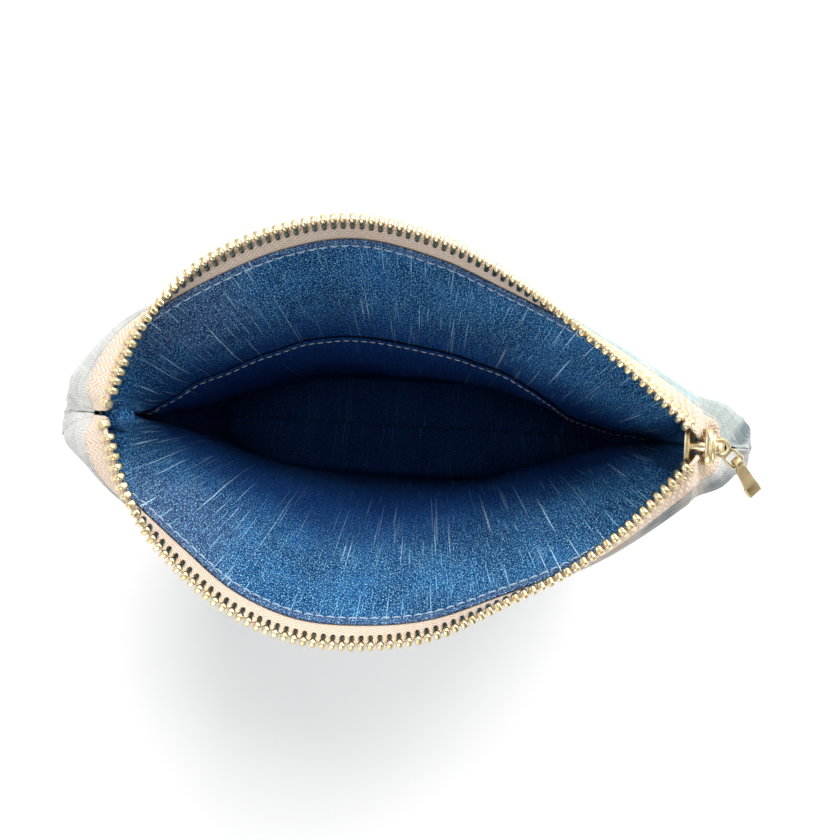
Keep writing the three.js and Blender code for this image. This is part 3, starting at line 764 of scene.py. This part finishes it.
slack_of = {}
for name, wall in walls.items():
    slack_of[name] = lining_slack(wall, LINING_SEED[name])
    slack = slack_of[name][..., None]
    # beyond the tape ends the lining lies lower than the outer cloth
    middle = wall.grid.copy()
    middle[..., 2] -= LINING_SINK * beyond_tape(wall) * (1 - fade(wall.down, 0, 30))
    near, far = layer_faces(middle, wall.normal, LINING_LAYER, -slack, wall.side, (0.03, 0.05))
    # the two linings meet along both side seams, a little inside the outer cloth
    meet_at_seams(near, middle, LINING_LAYER[0])
    meet_at_seams(far, middle, LINING_LAYER[1])
    lining = cloth_shell(
        f"lining_{name}", near, far, wall.along, wall.down, lining_material
    )
    soft_piece(lining, "lining_cloth", f"lining_{name}_panel")


# Corner tuck. Where the zip turns down at the left, a pinch of the lining is caught in the side seam
# and stands up as a small crumpled lump between the two tape ends.
TUCK_MIDDLE = np.array([-75.6, -1.6, 127.5])
TUCK_SIZE = np.array([4.2, 3.4, 5.5])
TUCK_RINGS, TUCK_SIDES = 26, 40

points, cloth = [], []
for r in range(TUCK_RINGS + 1):
    polar = math.pi * (r + 0.02) / (TUCK_RINGS + 0.04)
    for c in range(TUCK_SIDES):
        turn = 2 * math.pi * c / TUCK_SIDES
        level = math.sin(polar)
        way = np.array([level * math.cos(turn), level * math.sin(turn), math.cos(polar)])
        crumple = 1 + 0.22 * noise.noise(way * 1.6)
        crumple += 0.12 * noise.noise(way * 4.2 + np.array([3, 1, 7]))
        points.append(TUCK_MIDDLE + way * TUCK_SIZE * crumple)
        cloth.append((80 + way[0] * 6 + way[1] * 5, 30 + way[2] * 9 + way[1] * 3, 1))
faces = ring_faces(0, TUCK_RINGS + 1, TUCK_SIDES)
tuck = face_outward(mesh_from("lining_corner_tuck", points, faces, cloth, lining_material))
soft_piece(tuck, "lining_cloth")


# Slip pocket. A doubled piece of the lining cloth laid on the back lining from seam to seam, its top
# edge folded and stitched with tan thread, its foot caught near the base. Its top and foot are
# shares of the way down the wall; how far it gapes is in millimetres.
POCKET_LAYER = (-2.1, -1.5)
POCKET_FROM = 0.31
POCKET_SLOPE = 0.05
POCKET_DROP = 0.17
POCKET_TO = 0.86
POCKET_ROWS = 70
POCKET_GAPE = 0.5
POCKET_COLUMNS = range(COLUMNS)[5:-5]
# how far down the lining's cloth the pocket is placed, so it takes more of the lining's painted depth
# shade
POCKET_DEPTH_SHADE_SHIFT = 16
back_wall = walls["back"]


def pocket_spot(values):
    """The back wall's values over the pocket, whose top edge slopes, then dips, towards the slider."""
    share_down = back_wall.down / back_wall.down[:, -1:]
    rows = np.arange(share_down.shape[1])
    picked = []
    for column in POCKET_COLUMNS:
        share = back_wall.share[column, 0]
        top = POCKET_FROM + POCKET_SLOPE * share + POCKET_DROP * fade(share, 0.68, 0.9)
        spot = np.interp(np.linspace(top, POCKET_TO, POCKET_ROWS), share_down[column], rows)
        low = np.minimum(spot.astype(int), rows[-2])
        w = (spot - low).reshape((-1,) + (1,) * (values.ndim - 2))
        picked.append(values[column, low] * (1 - w) + values[column, low + 1] * w)
    return np.array(picked)


pocket_down = pocket_spot(back_wall.down)
under_edge = np.exp(-((pocket_down - pocket_down[:, :1]) / 9) ** 2)
gape = POCKET_GAPE * np.sin(np.pi * pocket_spot(back_wall.share)) * under_edge
slack = (pocket_spot(slack_of["back"]) + gape)[..., None]
pocket_grid = pocket_spot(back_wall.grid)
pocket_out = pocket_spot(back_wall.normal)
pocket_near, pocket_far = layer_faces(pocket_grid, pocket_out, POCKET_LAYER, -slack, 1, (0.08, 0.1))
pocket = cloth_shell(
    "pocket", pocket_near, pocket_far, pocket_spot(back_wall.along),
    pocket_down + POCKET_DEPTH_SHADE_SHIFT, lining_material,
)
soft_piece(pocket, "lining_cloth", "slip_pocket")


# Stitching. Spun thread in short raised stitches: beside the zip through both cloths, pale blue inside
# and off-white outside, and tan along the pocket's edge.
def thread_material(name, color):
    """Twisted thread: fine uneven plies over one colour, with painted shade between the plies."""
    material, tree, shader = new_material(name)
    place = add_node(tree, "ShaderNodeTexCoord").outputs["Object"]
    plies = cloudy(tree, place, 4000.0, 2.0)
    # painted shade in the grooves between the plies
    dark = (*(c * 0.55 for c in color[:3]), 1)
    finish(tree, shader, mixed(tree, plies, dark, color), 0.55, plies, 0.4, 0.05)
    return material


def stitch_row(name, line, normals, stitch, material):
    """A row of stitches along a line: each is a thread that rises from the cloth and dips back.

    A stitch is its pitch, its length, its radius and how high it rises, in radii.
    """
    pitch, length, radius, arch = stitch
    at = running_length(line)
    points, faces = [], []
    sides, steps = 6, 7
    for k in range(int(at[-1] / pitch)):
        middle = (k + 0.5) * pitch
        s = middle + np.linspace(-0.5, 0.5, steps) * length
        path = along_line(s, at, line)
        up = unit(along_line(s, at, normals))
        wide = np.cross(unit(np.gradient(path, axis=0)), up)
        rise = np.sin(np.linspace(0, 1, steps) * np.pi)
        base = len(points)
        for j in range(steps):
            centre = path[j] + up[j] * radius * (rise[j] * arch - 0.35)
            r = radius * (0.55 + 0.45 * rise[j])
            points += round_ring(centre, wide[j] * r, up[j] * 0.8 * r, sides)
        faces += ring_faces(base, steps, sides)
    return face_outward(mesh_from(name, points, faces, material=material))


STITCH_FROM_EDGE = 2.7
# a stitch's pitch, length, radius and rise
STITCH_INSIDE = (3.0, 2.55, 0.27, 1.1)
STITCH_OUTSIDE = (3.0, 2.3, 0.2, 1.1)
STITCH_POCKET = (2.8, 2.1, 0.24, 0.5)
THREAD_BLUE = (0.55, 0.68, 0.82, 1)
THREAD_WHITE = (0.70, 0.69, 0.66, 1)
THREAD_TAN = (0.92, 0.78, 0.55, 1)
thread_inside = thread_material("thread_pale_blue", THREAD_BLUE)
thread_outside = thread_material("thread_off_white", THREAD_WHITE)
thread_tan = thread_material("thread_tan", THREAD_TAN)
stitched_row = int((STITCH_FROM_EDGE - HEM_DROP) / HEM_STEP) + 1
stitched = (slice(10, -10), stitched_row)
for name, wall in walls.items():
    line, out = wall.grid[stitched], wall.normal[stitched]
    on_lining = line + out * (LINING_LAYER[0] - slack_of[name][stitched][:, None])
    on_outer = line + out * OUTER_LAYER[1]
    inner_row = stitch_row(f"topstitch_inside_{name}", on_lining, -out, STITCH_INSIDE, thread_inside)
    outer_row = stitch_row(f"topstitch_outside_{name}", on_outer, out, STITCH_OUTSIDE, thread_outside)
    soft_piece(inner_row, "lining_cloth")
    soft_piece(outer_row, "outer_cloth")
pocket_edge, edge_out = pocket_near[3:-3, 1], -pocket_out[3:-3, 1]
pocket_row = stitch_row("pocket_stitching", pocket_edge, edge_out, STITCH_POCKET, thread_tan)
soft_piece(pocket_row, "lining_cloth")


# Zip tape, front and back. Herringbone-woven polyester with a corded edge that the teeth clamp on; its
# other edge is sewn between the outer cloth and the lining, and its ends turn in beside the stops.
TAPE_HALF = 0.3
TAPE_TO_ROW = 0.9
CORD_RADIUS = 0.62
RIB_PITCH = 0.95
TAPE_ENDS_AT = 0.4
TAPE_PEACH = (0.88, 0.71, 0.57, 1)
TAPE_CREAM = (0.94, 0.88, 0.79, 1)
# the painted shade in the grooves between the tape's ribs
TAPE_PAINTED_RIB_SHADE = (0.74, 0.57, 0.44, 1)

tape_material, tree, shader = new_material("zip_tape_weave")
place = cloth_place(tree)
place_parts = add_node(tree, "ShaderNodeSeparateXYZ", {0: place}).outputs
zigzag = times(tree, maths(tree, "PINGPONG", place_parts[0], 1.3), 0.8)
slanting = maths(tree, "ADD", place_parts[1], zigzag)
rib = maths(tree, "SINE", times(tree, slanting, 2 * math.pi / RIB_PITCH))
grain = cloudy(tree, place, 3.0, 3.0)
# painted shade: the grooves between the ribs are darker in the colour
color = mixed(tree, ramp(tree, rib, -0.6, 0.5), TAPE_PAINTED_RIB_SHADE, TAPE_PEACH)
color = mixed(tree, ramp(tree, grain, 0.5, 0.8), color, TAPE_CREAM)
rough = maths(tree, "ADD", times(tree, grain, 0.15), 0.65)
finish(tree, shader, color, rough, rib, 0.7, 0.2)
shader.inputs["Sheen Weight"].default_value = 0.2


def tape_of(half, wall):
    """The tape's middle surface, from beside its cord back to its hidden edge, and its flat places."""
    spans = wall.spans
    t = wall.t
    run = (t >= 1 / spans) & (t <= 1 - 1 / spans)
    row = spline([half["seams"][0], *half["row"], half["seams"][1]], t[run])
    edge = wall.rim[run]
    hidden = [wall.grid[run, r] for r in (10, 6, 2)]
    free = row + unit(edge - row) * TAPE_TO_ROW
    lines = [*hidden, edge] + [edge + (free - edge) * w for w in (0.2, 0.4, 0.6, 0.8, 1.0)]
    grid = np.stack(lines[::-1], axis=1)
    hold = beyond_tape(wall)[run]
    grid[..., 1] = grid[..., 1] * (1 - hold) + TAPE_ENDS_AT * wall.side * hold
    across = running_length(grid[len(grid) // 2])
    return grid, wall.along[run], np.broadcast_to(across, grid.shape[:2])


def tube(name, line, radius, sides, material):
    """A closed round cord along a line of points."""
    forward = unit(np.gradient(line, axis=0))
    up = np.zeros_like(line)
    up[0] = unit(np.cross(forward[0], [0.3, 0.2, 1.0]))
    for k in range(1, len(line)):
        up[k] = unit(up[k - 1] - forward[k] * np.dot(up[k - 1], forward[k]))
    wide = np.cross(forward, up)
    at = running_length(line)
    points, cloth = [], []
    for k in range(len(line)):
        points += round_ring(line[k], radius * up[k], radius * wide[k], sides)
        cloth += [(at[k], c * 2 * math.pi * radius / sides, 0) for c in range(sides)]
    faces = ring_faces(0, len(line), sides)
    return face_outward(mesh_from(name, points, faces, cloth, material))


rows = {}
for name, half in HALVES.items():
    grid, along, across = tape_of(half, walls[name])
    half_thick = TAPE_HALF * unit(np.cross(np.gradient(grid, axis=0), np.gradient(grid, axis=1)))
    tape = cloth_shell(
        f"tape_{name}", grid - half_thick, grid + half_thick, along, across, tape_material
    )
    soft_piece(tape, "zip_tape", f"zip_tape_{name}")
    rows[name] = [spline(half[line][1:-1], np.linspace(0, 1, 500)) for line in ("row", "edge")]
    cord_line = spline(half["row"], np.linspace(0, 1, 260))
    soft_piece(tube(f"tape_cord_{name}", cord_line, CORD_RADIUS, 10, tape_material), "zip_tape")


# Teeth. Size 5 metal teeth, pale gold plated: each is a stamped block with a rounded head and two
# legs clamped round the tape's cord. They sit 2.54 mm apart and interlock with the other row's.
PITCH = 2.54
TOOTH_TIP = 2.25
TOOTH_FOOT = 1.75
THROUGH_SLIDER = 16.3
FIRST_TOOTH = 0.95
GOLD = (0.66, 0.51, 0.28, 1)
GOLD_PALE = (0.86, 0.75, 0.50, 1)
GOLD_DULL = (0.50, 0.42, 0.28, 1)

# tarnish: darker hollows and fine scratches on plated metal
tarnish, given, result = value_group("tarnish", [], {"Scale": 900.0}, ["Mask", "Scratch"])
spot = add_node(tarnish, "ShaderNodeTexCoord").outputs["Object"]
stain = cloudy(tarnish, spot, given["Scale"], 4.0)
tarnish.links.new(ramp(tarnish, stain, 0.4, 0.75), result["Mask"])
lines = add_node(tarnish, "ShaderNodeMapping", {0: spot, 3: (9000, 700, 9000)}).outputs[0]
tarnish.links.new(cloudy(tarnish, lines, 1.0, 2.0), result["Scratch"])


def gold_metal(name, scale, roughness, light, dark):
    """Pale gold plate with faint tarnish and handling scratches."""
    material, tree, shader = new_material(name)
    worn = grouped(tree, tarnish, {"Scale": scale})
    color = mixed(tree, worn["Mask"], light, dark)
    rough = maths(tree, "ADD", times(tree, worn["Mask"], 0.14), roughness)
    finish(tree, shader, color, rough, worn["Scratch"], 0.15, 0.03)
    shader.inputs["Metallic"].default_value = 1.0
    return material


tooth_metal = gold_metal("gold_teeth", 700.0, 0.30, GOLD_PALE, GOLD)
slider_metal = gold_metal("gold_slider", 420.0, 0.28, GOLD_PALE, GOLD)
pull_metal = gold_metal("gold_pull", 300.0, 0.36, GOLD, GOLD_DULL)

# one tooth's outline: distance out from the cord's middle, half width along the row, half thickness
TOOTH_SECTIONS = [
    (-TOOTH_FOOT, 0.48, 0.90), (-TOOTH_FOOT + 0.15, 0.72, 1.10), (-0.95, 0.82, 1.22),
    (-0.35, 0.80, 1.26), (0.05, 0.62, 1.26), (0.3, 0.58, 1.28), (0.55, 0.76, 1.34),
    (0.9, 0.94, 1.40), (1.4, 1.00, 1.36), (1.85, 0.92, 1.20), (TOOTH_TIP - 0.12, 0.72, 0.98),
    (TOOTH_TIP, 0.42, 0.62),
]
TOOTH_SIDES = 16
SQUARENESS = 3.4


def tooth_ring(out, half_long, half_thick):
    """One rounded-square ring of a tooth: out from the cord, along the row, through the thickness."""
    ring = []
    for c in range(TOOTH_SIDES):
        turn = 2 * math.pi * (c + 0.5) / TOOTH_SIDES
        x, z = math.cos(turn), math.sin(turn)
        squarer = (abs(x) ** SQUARENESS + abs(z) ** SQUARENESS) ** (-1 / SQUARENESS)
        ring.append((out, x * squarer * half_long, z * squarer * half_thick))
    return ring


TOOTH_RINGS = [tooth_ring(*section) for section in TOOTH_SECTIONS]


def add_tooth(points, faces, centre, out, forward, face):
    """Adds one tooth to lists of points and faces."""
    base = len(points)
    for ring in TOOTH_RINGS:
        for away, along, through in ring:
            points.append(centre + out * away + forward * along + face * through)
    faces += ring_faces(base, len(TOOTH_RINGS), TOOTH_SIDES)


def row_frame(row, edge, s):
    """At a distance along the row: its centre, the ways out of the tape and along, and the face."""
    at = running_length(row)
    centre = along_line(s, at, row)
    forward = unit(along_line(s + 0.4, at, row) - along_line(s - 0.4, at, row))
    out = centre - along_line(s, at, edge)
    out = unit(out - forward * np.dot(out, forward))
    return centre, out, forward, np.cross(forward, out)


def metal_on_tape(made, side, *nodes):
    """Ties a small metal piece on the tape to the pouch, gives it a mesh of its own and hides the CAD
    parts it stands for.
    """
    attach(made, "pouch")
    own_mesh(made)
    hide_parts(*nodes)


for name, (row, edge) in rows.items():
    side = walls[name].side
    length = running_length(row)[-1]
    count = int((length - THROUGH_SLIDER) / PITCH - FIRST_TOOTH + 0.6)
    for first in range(0, count, 2):
        points, faces = [], []
        for k in range(first, min(first + 2, count)):
            add_tooth(points, faces, *row_frame(row, edge, PITCH * (k + FIRST_TOOTH)))
        pair = mesh_from(f"teeth_{name}_{first:02d}", points, faces, material=tooth_metal)
        metal_on_tape(face_outward(pair), side, f"zip_teeth_{name}")


# Stops. Small metal blocks crimped on the tape: one ends each row at the left, and one joins both rows
# behind the slider at the right.
def rounded_plate(outlines, thick, bevel):
    """A flat plate with eased edges from closed outlines in millimetres; later outlines are holes."""
    curve = bpy.data.curves.new("plate", "CURVE")
    curve.dimensions = "2D"
    curve.fill_mode = "BOTH"
    curve.extrude = (thick / 2 - bevel) * MM
    curve.bevel_depth = bevel * MM
    curve.bevel_resolution = 2
    curve.offset = -bevel * MM
    for outline in outlines:
        path = curve.splines.new("POLY")
        path.points.add(len(outline) - 1)
        for point, (x, y) in zip(path.points, outline):
            point.co = (x * MM, y * MM, 0, 1)
        path.use_cyclic_u = True
    holder = bpy.data.objects.new("plate", curve)
    scene.collection.objects.link(holder)
    bpy.context.view_layer.update()
    seen = holder.evaluated_get(bpy.context.evaluated_depsgraph_get())
    mesh = bpy.data.meshes.new_from_object(seen)
    bpy.data.objects.remove(holder)
    bpy.data.curves.remove(curve)
    return mesh


def circle(radius, count):
    """A round outline."""
    turns = [2 * math.pi * k / count for k in range(count)]
    return [(radius * math.cos(t), radius * math.sin(t)) for t in turns]


def block(long, wide, cut=0.35):
    """A rectangular outline with its corners cut off."""
    x, y = long / 2, wide / 2
    right = [(x - cut, -y), (x, cut - y), (x, y - cut), (x - cut, y)]
    return [(-x, cut - y), (cut - x, -y)] + right + [(cut - x, y), (-x, y - cut)]


def basis(x_axis, y_axis, z_axis, origin):
    """A placing matrix in metres from three directions and an origin in millimetres."""
    matrix = Matrix.Identity(4)
    for k in range(3):
        for column, axis in enumerate((x_axis, y_axis, z_axis)):
            matrix[k][column] = axis[k]
        matrix[k][3] = (origin[k] + FRAME_SHIFT[k]) * MM
    return matrix


def stamped(name, plates, material):
    """One object from plates: each is its outlines, its thickness, its edge's ease and its place."""
    whole = bmesh.new()
    for outlines, thick, bevel, matrix in plates:
        mesh = rounded_plate(outlines, thick, bevel)
        mesh.transform(matrix)
        whole.from_mesh(mesh)
        bpy.data.meshes.remove(mesh)
    bmesh.ops.remove_doubles(whole, verts=whole.verts, dist=1e-6)
    bmesh.ops.recalc_face_normals(whole, faces=whole.faces)
    mesh = bpy.data.meshes.new(name)
    whole.to_mesh(mesh)
    whole.free()
    mesh.materials.append(material)
    mesh.polygons.foreach_set("use_smooth", [True] * len(mesh.polygons))
    mesh.set_sharp_from_angle(angle=math.radians(38))
    made = bpy.data.objects.new(name, mesh)
    scene.collection.objects.link(made)
    return made


STOP_AT = 1.1
STOP_BACK = 2.4
for name, (row, edge) in rows.items():
    centre, out, forward, face = row_frame(row, edge, STOP_AT)
    place = basis(forward, out, face, centre - forward * STOP_BACK)
    stop = stamped(f"top_stop_piece_{name}", [([block(2.2, 2.8)], 2.4, 0.3, place)], tooth_metal)
    metal_on_tape(stop, walls[name].side, f"top_stop_{name}")

place = basis(ALONG, ACROSS, OUTWARD, on_slider(-8.2, 0))
bottom = stamped("bottom_stop_piece", [([block(1.8, 5.4)], 2.6, 0.3, place)], tooth_metal)
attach(bottom, "pouch")
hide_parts("bottom_stop")


# Slider. Two plates joined by the wedge that parts the teeth, with rails along both sides that hold the
# tapes in, and an arched bail on the outer plate for the pull. Die-cast and gold plated.
PLATE_INNER = 1.8
PLATE_THICK = 1.4
OUTER_THICK = 1.7
SHOULDER = 5.25
SHOULDER_HALF = 4.65
REAR_HALF = 3.2


def mirrored(half_outline):
    """An outline from its left half, mirrored over the x axis."""
    return half_outline + [(x, -y) for x, y in reversed(half_outline)]


def across_slider(n):
    """The place of a plate that lies parallel to the slider's two plates, n outward of its middle."""
    return basis(ALONG, ACROSS, OUTWARD, on_slider(0, 0, n))


plate_outline = mirrored([
    (-5.25, REAR_HALF - 0.5), (-4.8, REAR_HALF), (-1.8, REAR_HALF + 0.12), (0.2, 3.9),
    (2.0, SHOULDER_HALF), (3.6, SHOULDER_HALF - 0.1), (4.5, SHOULDER_HALF - 0.6), (5.0, 3.2),
    (SHOULDER, 1.8),
])
dome_outline = mirrored([(-4.3, 1.6), (-3.6, 2.3), (0.4, 2.8), (2.4, 3.5), (3.9, 3.1), (4.7, 1.7)])
rail_outline = [
    (-5.1, REAR_HALF), (-1.8, REAR_HALF + 0.1), (0.2, 3.85), (2.1, SHOULDER_HALF - 0.05),
    (2.1, SHOULDER_HALF - 0.8), (0.2, 3.1), (-1.8, REAR_HALF - 0.7), (-5.1, REAR_HALF - 0.8),
]
wedge_outline = mirrored([(1.3, 0.05), (2.4, 0.75), (3.7, 1.25), (4.5, 1.0), (4.9, 0.45)])
bail_outline = [
    (-4.2, 2.4), (-4.2, 4.4), (-3.9, 5.2), (-3.3, 5.75), (-2.6, 5.9), (2.4, 5.9), (3.2, 5.7),
    (3.8, 5.2), (4.2, 4.4), (4.25, 2.4), (2.95, 2.4), (2.9, 3.9), (2.5, 4.55), (2.0, 4.75),
    (-2.2, 4.75), (-2.7, 4.5), (-2.95, 4.0), (-2.95, 2.4),
]
slider_plates = [
    ([plate_outline], PLATE_THICK, 0.28, across_slider(-PLATE_INNER - PLATE_THICK / 2)),
    ([plate_outline], OUTER_THICK, 0.5, across_slider(PLATE_INNER + OUTER_THICK / 2)),
    ([dome_outline], 1.2, 0.5, across_slider(PLATE_INNER + OUTER_THICK + 0.3)),
    ([wedge_outline], 2 * PLATE_INNER + 0.6, 0.1, across_slider(0)),
    ([bail_outline], 2.5, 0.45, basis(ALONG, OUTWARD, np.cross(ALONG, OUTWARD), on_slider(0, 0))),
]
for side in (-1, 1):
    rail = [(x, side * y) for x, y in rail_outline]
    for n in (1.3, -1.3):
        slider_plates.append(([rail], 1.15, 0.18, across_slider(n)))
slider = stamped("slider", slider_plates, slider_metal)
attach(slider, "slider")
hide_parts("slider_body")


# Pull link. A stamped plate: a ring that goes round the bail, widening into a frame with a slot for
# the tab.
LINK_YAW = math.radians(-39)
LINK_END = 5.6
BAIL_BAR = 5.3
RING_RADIUS = 2.4


def headings(yaw):
    """Level directions forward and across at an angle from the x axis."""
    return np.array([math.cos(yaw), math.sin(yaw), 0]), np.array([-math.sin(yaw), math.cos(yaw), 0])


link_pivot = on_slider(0.3, 0, BAIL_BAR)
link_forward, link_across = headings(LINK_YAW)
turns = np.linspace(0.75, 2 * math.pi - 0.75, 30)
ring_arc = [(RING_RADIUS * math.cos(a), RING_RADIUS * math.sin(a)) for a in turns]
link_outline = ring_arc + [
    (2.9, -2.05), (5.4, -2.15), (6.05, -1.7), (6.05, 1.7), (5.4, 2.15), (2.9, 2.05),
]
slot_outline = [
    (2.75, -1.4), (2.55, -1.1), (2.55, 1.1), (2.75, 1.4), (4.95, 1.45), (5.15, 1.2),
    (5.15, -1.2), (4.95, -1.45),
]
place = basis(link_forward, link_across, (0, 0, 1), link_pivot)
link_outlines = [link_outline, circle(1.5, 28), slot_outline]
link = stamped("link", [(link_outlines, 0.9, 0.15, place)], slider_metal)
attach(link, "link")
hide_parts("pull_link")


# Pull tab. A flat bar whose neck is folded round the link's end bar, with a thicker lip at the tip
# to grip.
TAB_YAW = math.radians(-45)
TAB_DROOP = math.radians(35)

tab_pivot = link_pivot + link_forward * LINK_END
level, tab_across = headings(TAB_YAW)
reach = level * math.cos(TAB_DROOP) + np.array([0, 0, -1.0]) * math.sin(TAB_DROOP)
top = np.cross(reach, tab_across)
edgewise = basis(reach, top, np.cross(reach, top), tab_pivot)
bar_outline = mirrored([(1.0, 0.95), (2.1, 0.95), (2.7, 1.4), (13.3, 1.95), (13.6, 1.6)])
lip_outline = mirrored([(9.9, 0.45), (10.8, 0.9), (13.2, 0.9), (13.6, 0.5)])
tab = stamped("tab", [
    ([circle(1.4, 24), circle(0.8, 24)], 1.9, 0.15, edgewise),
    ([bar_outline], 1.0, 0.2, basis(reach, tab_across, top, tab_pivot)),
    ([lip_outline], 3.8, 0.2, edgewise),
], pull_metal)
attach(tab, "tab")
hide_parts("pull_tab")
